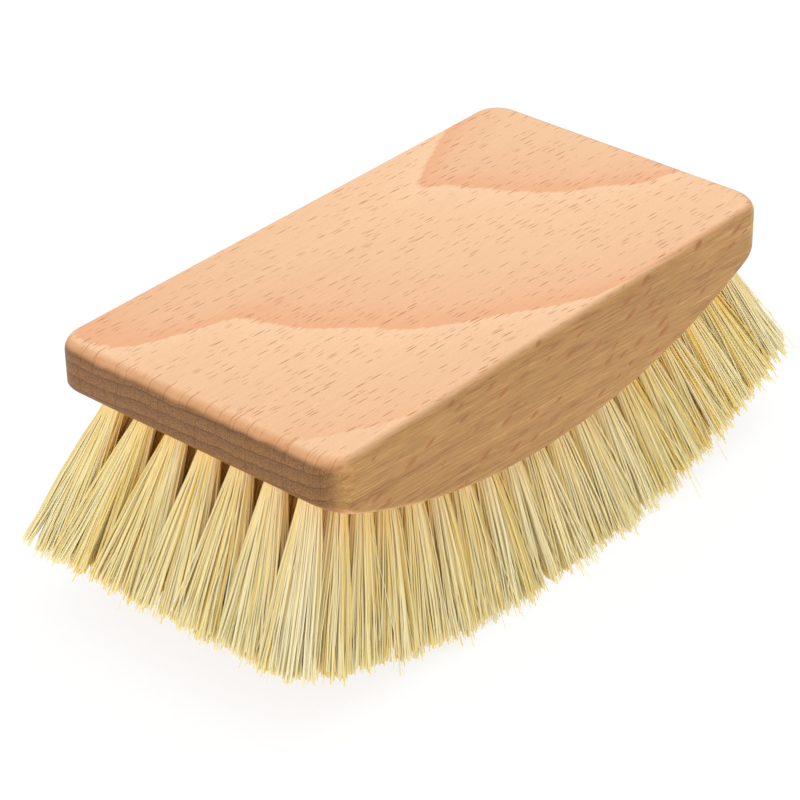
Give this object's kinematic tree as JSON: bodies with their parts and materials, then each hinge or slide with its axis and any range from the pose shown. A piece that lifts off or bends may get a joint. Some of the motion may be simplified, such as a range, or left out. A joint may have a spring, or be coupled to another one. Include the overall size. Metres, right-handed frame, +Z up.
{
  "type": "proofing basket brush",
  "caption": "Handheld scrubbing brush for bread proofing baskets: a flat-topped beech block with a curved underside, filled with rows of stiff plant-fibre tufts.",
  "frame": {"origin": "middle of the footprint, on the surface that the brush stands on with its tips down", "axes": "+X along the block, +Y across it, +Z up through the flat top face"},
  "size_m": [0.1523, 0.0796, 0.0535],
  "materials": {
    "beech": "fine-sanded, unfinished, satin",
    "fibre": "natural plant fibre, matt with a slight sheen"
  },
  "bodies": {
    "root": {"wood_block": "beech", "tuft_row_01": "fibre", "tuft_row_02": "fibre", "tuft_row_03": "fibre", "tuft_row_04": "fibre", "tuft_row_05": "fibre", "tuft_row_06": "fibre", "tuft_row_07": "fibre", "tuft_row_08": "fibre", "tuft_row_09": "fibre", "tuft_row_10": "fibre", "tuft_row_11": "fibre", "tuft_row_12": "fibre", "tuft_row_13": "fibre", "tuft_row_14": "fibre", "tuft_row_15": "fibre", "tuft_row_16": "fibre", "tuft_row_17": "fibre", "tuft_row_18": "fibre", "tuft_row_19": "fibre"}
  },
  "joints": []
}
